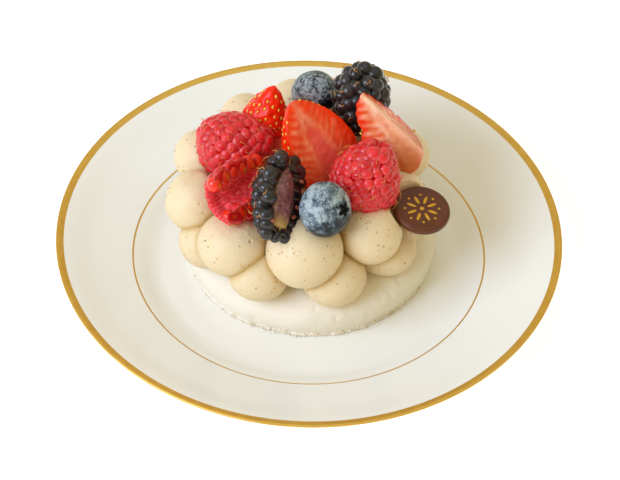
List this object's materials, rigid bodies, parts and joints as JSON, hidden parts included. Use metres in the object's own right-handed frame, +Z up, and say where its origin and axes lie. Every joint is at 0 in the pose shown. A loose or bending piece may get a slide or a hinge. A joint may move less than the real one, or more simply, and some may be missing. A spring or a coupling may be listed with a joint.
{
  "type": "pavlova",
  "caption": "Individual pavlova: a round meringue with two tiers of piped cream domes, topped with cut and whole berries and a chocolate disc, on a gold-rimmed plate.",
  "frame": {"origin": "the middle of the plate's foot, on the table", "axes": "+Z up, through the middle of the plate; -Y towards the front of the pavlova, where the blueberry and the cut berries are"},
  "size_m": [0.16, 0.16, 0.0665],
  "materials": {
    "porcelain": "glossy glazed ivory-white porcelain with a gilded rim and a thin gilded line",
    "meringue": "dry matte meringue shell",
    "cream": "satin vanilla cream with seed specks",
    "raspberry": "velvety to wet red drupelets",
    "bramble": "glossy black drupelets, purple core where it is cut",
    "blueberry": "grey-blue bloom over a dark skin",
    "strawberry": "glossy red skin, moist cut flesh",
    "chocolate": "satin milk chocolate with a plain gold pattern"
  },
  "bodies": {
    "root": {"plate": "porcelain", "meringue": "meringue", "raspberry_left": "raspberry", "raspberry_right": "raspberry", "bramble_whole": "bramble", "strawberry_half": "strawberry", "strawberry_wedge": "strawberry", "strawberry_small": "strawberry", "strawberry_low": "strawberry", "bramble_half": "bramble", "raspberry_half": "raspberry", "blueberry_front": "blueberry", "blueberry_back": "blueberry", "chocolate_disc": "chocolate", "cream_mound": "cream", "cream_upper_1": "cream", "cream_upper_2": "cream", "cream_upper_3": "cream", "cream_upper_4": "cream", "cream_upper_5": "cream", "cream_upper_6": "cream", "cream_upper_7": "cream", "cream_upper_8": "cream", "cream_upper_9": "cream", "cream_upper_10": "cream", "cream_lower_1": "cream", "cream_lower_2": "cream", "cream_lower_3": "cream", "cream_lower_4": "cream", "cream_lower_5": "cream", "cream_lower_6": "cream", "cream_lower_7": "cream", "cream_lower_8": "cream", "cream_lower_9": "cream", "cream_lower_10": "cream"}
  },
  "joints": []
}
